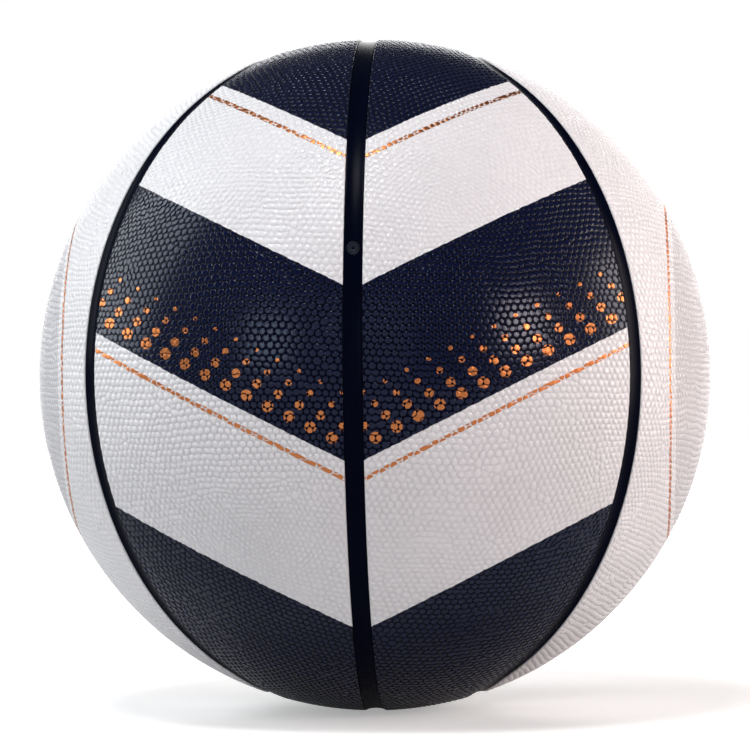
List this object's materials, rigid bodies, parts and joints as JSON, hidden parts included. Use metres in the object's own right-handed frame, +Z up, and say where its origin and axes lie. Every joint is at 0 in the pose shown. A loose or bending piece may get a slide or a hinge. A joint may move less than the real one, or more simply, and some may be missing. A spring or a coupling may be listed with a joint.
{
  "type": "basketball",
  "caption": "Inflatable basketball with pebbled cover panels, recessed channel strips, a wound carcass, a bladder and a push-in needle valve.",
  "frame": {"origin": "the middle of the ball", "axes": "+Z up through the crossing of the two straight channels, -Y to the front, where the valve lies 20 degrees up the straight channel, +X to the right-hand oval"},
  "size_m": [0.24, 0.24, 0.2398],
  "materials": {
    "cover": "satin",
    "cover_side": "satin",
    "channel": "satin",
    "carcass": "matte",
    "winding": "matte",
    "bladder": "satin",
    "valve_seat": "satin",
    "valve_core": "satin"
  },
  "bodies": {
    "ball": {"panel_front_left": "cover", "panel_front_right": "cover", "panel_rear_left": "cover", "panel_rear_right": "cover", "side_panel_front_left": "cover_side", "side_panel_front_right": "cover_side", "side_panel_rear_left": "cover_side", "side_panel_rear_right": "cover_side", "channel_ring": "channel", "channel_front": "channel", "channel_rear": "channel", "oval_channel_front_left": "channel", "oval_channel_front_right": "channel", "oval_channel_rear_left": "channel", "oval_channel_rear_right": "channel", "carcass": "carcass", "winding": "winding", "bladder": "bladder", "valve_seat": "valve_seat"},
    "valve_core": {"valve_core": "valve_core"}
  },
  "joints": [
    {"name": "valve_core_pull", "type": "slide", "parent": "ball", "child": "valve_core", "axis": [0, -0.9397, 0.342], "range_m": [0, 0.016]}
  ]
}
